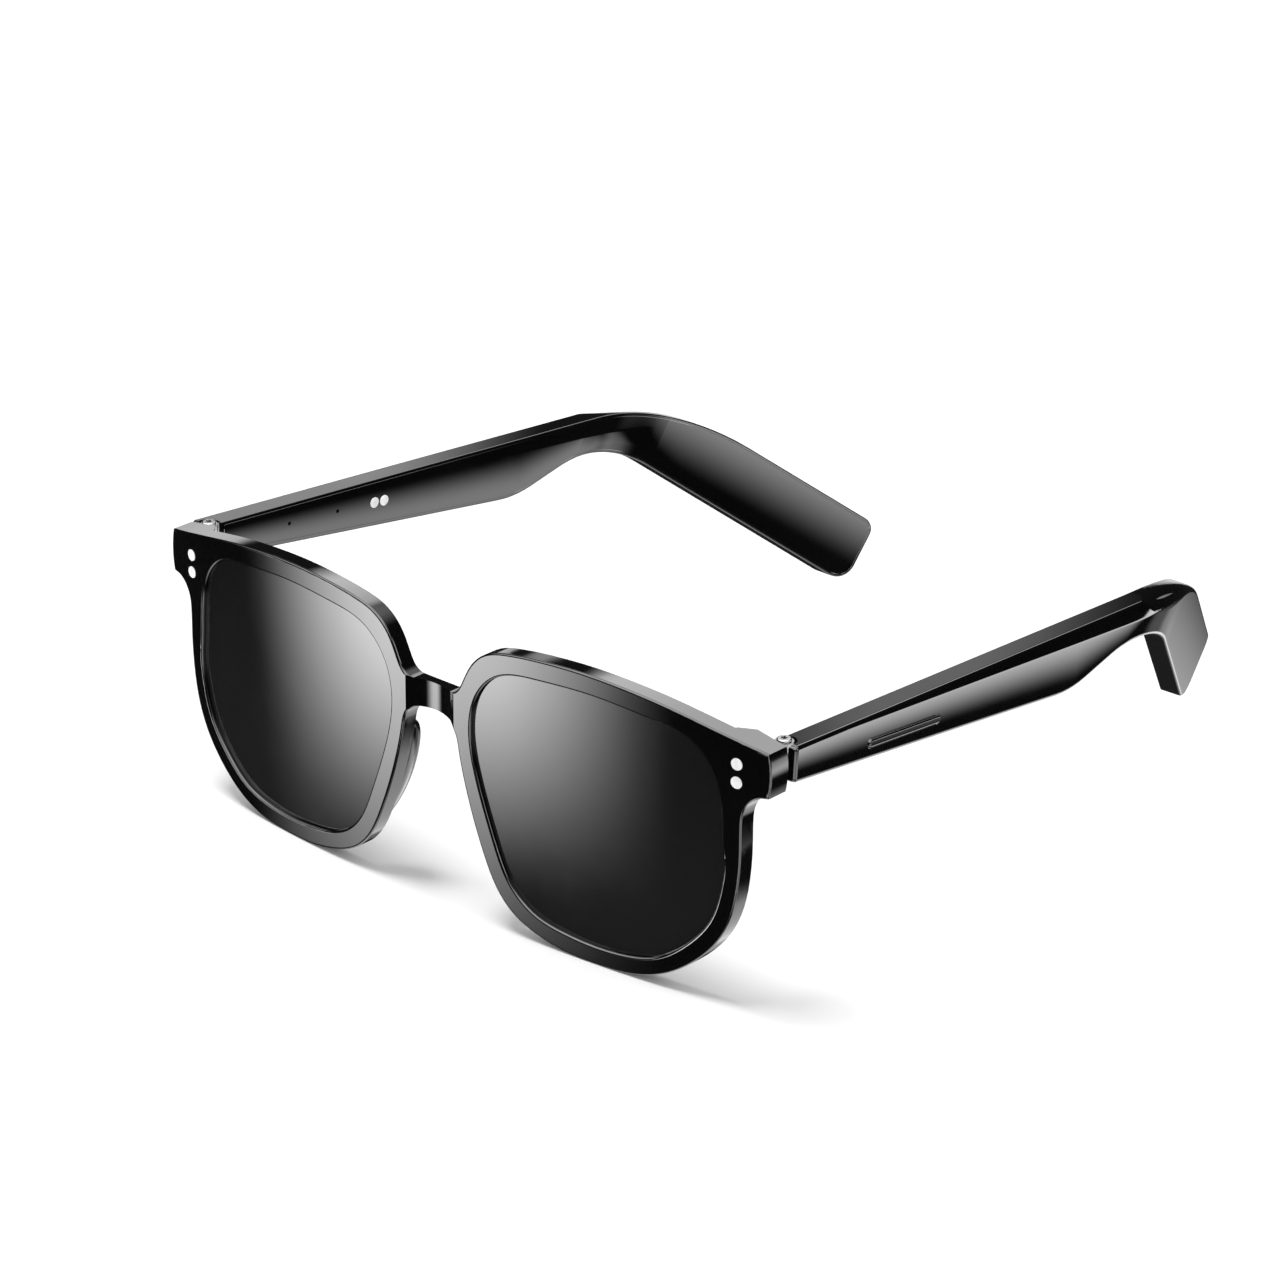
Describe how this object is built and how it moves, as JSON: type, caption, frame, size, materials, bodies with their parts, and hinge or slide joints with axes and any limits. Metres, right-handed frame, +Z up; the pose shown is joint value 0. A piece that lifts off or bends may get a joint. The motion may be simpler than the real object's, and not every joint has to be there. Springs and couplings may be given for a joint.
{
  "type": "smart glasses",
  "caption": "Sunglasses-style smart glasses with folding temples that hold a battery, a board, a speaker, microphones and charging contacts; dark lenses and a push bar.",
  "frame": {"origin": "centre of the footprint of the open glasses, on the table that the rims and temple tips rest on", "axes": "+X to the wearer's left, -Y the way the lenses look, +Z up"},
  "size_m": [0.1472, 0.1731, 0.0547],
  "materials": {
    "gloss_black": "polished black",
    "dark_lens": "dark grey tint, polished",
    "pad_black": "polished black",
    "silver_trim": "satin",
    "hinge_steel": "satin",
    "contact_plating": "plated, smooth",
    "board_green": "solder mask",
    "shield_tin": "tinned",
    "speaker_black": "moulded",
    "mesh_steel": "blackened",
    "cell_foil": "laminated foil",
    "flex_amber": "polyimide film",
    "switch_metal": "stamped"
  },
  "bodies": {
    "front": {"front_frame": "gloss_black", "end_piece_rivets": "silver_trim", "lens_left": "dark_lens", "nose_pad_left": "pad_black", "front_hinge_left": "hinge_steel", "hinge_screw_left": "silver_trim", "lens_right": "dark_lens", "nose_pad_right": "pad_black", "front_hinge_right": "hinge_steel", "hinge_screw_right": "silver_trim"},
    "temple_left": {"temple_shell_left": "gloss_black", "temple_cover_left": "gloss_black", "temple_hinge_left": "hinge_steel", "hinge_leaf_screws_left": "hinge_steel", "charging_contacts_left": "contact_plating", "main_board_left": "board_green", "chip_shield_left": "shield_tin", "microphones_left": "shield_tin", "speaker_left": "speaker_black", "speaker_mesh_left": "mesh_steel", "battery_left": "cell_foil", "battery_flex_left": "flex_amber", "bar_switch_left": "switch_metal"},
    "temple_right": {"temple_shell_right": "gloss_black", "temple_cover_right": "gloss_black", "temple_hinge_right": "hinge_steel", "hinge_leaf_screws_right": "hinge_steel", "charging_contacts_right": "contact_plating", "main_board_right": "board_green", "chip_shield_right": "shield_tin", "microphones_right": "shield_tin", "speaker_right": "speaker_black", "speaker_mesh_right": "mesh_steel", "battery_right": "cell_foil", "battery_flex_right": "flex_amber"},
    "volume_bar": {"volume_bar_left": "gloss_black"}
  },
  "joints": [
    {"name": "temple_left_fold", "type": "hinge", "parent": "front", "child": "temple_left", "pos_m": [0.07, -0.07322, 0.0462], "axis": [0, 0, 1], "range_deg": [0, 82]},
    {"name": "temple_right_fold", "type": "hinge", "parent": "front", "child": "temple_right", "pos_m": [-0.07, -0.07322, 0.0462], "axis": [0, 0, -1], "range_deg": [0, 53]},
    {"name": "volume_bar_push", "type": "slide", "parent": "temple_left", "child": "volume_bar", "axis": [-0.9995, -0.0314, 0], "range_m": [0, 0.0003], "stiffness_N_per_m": 800}
  ]
}
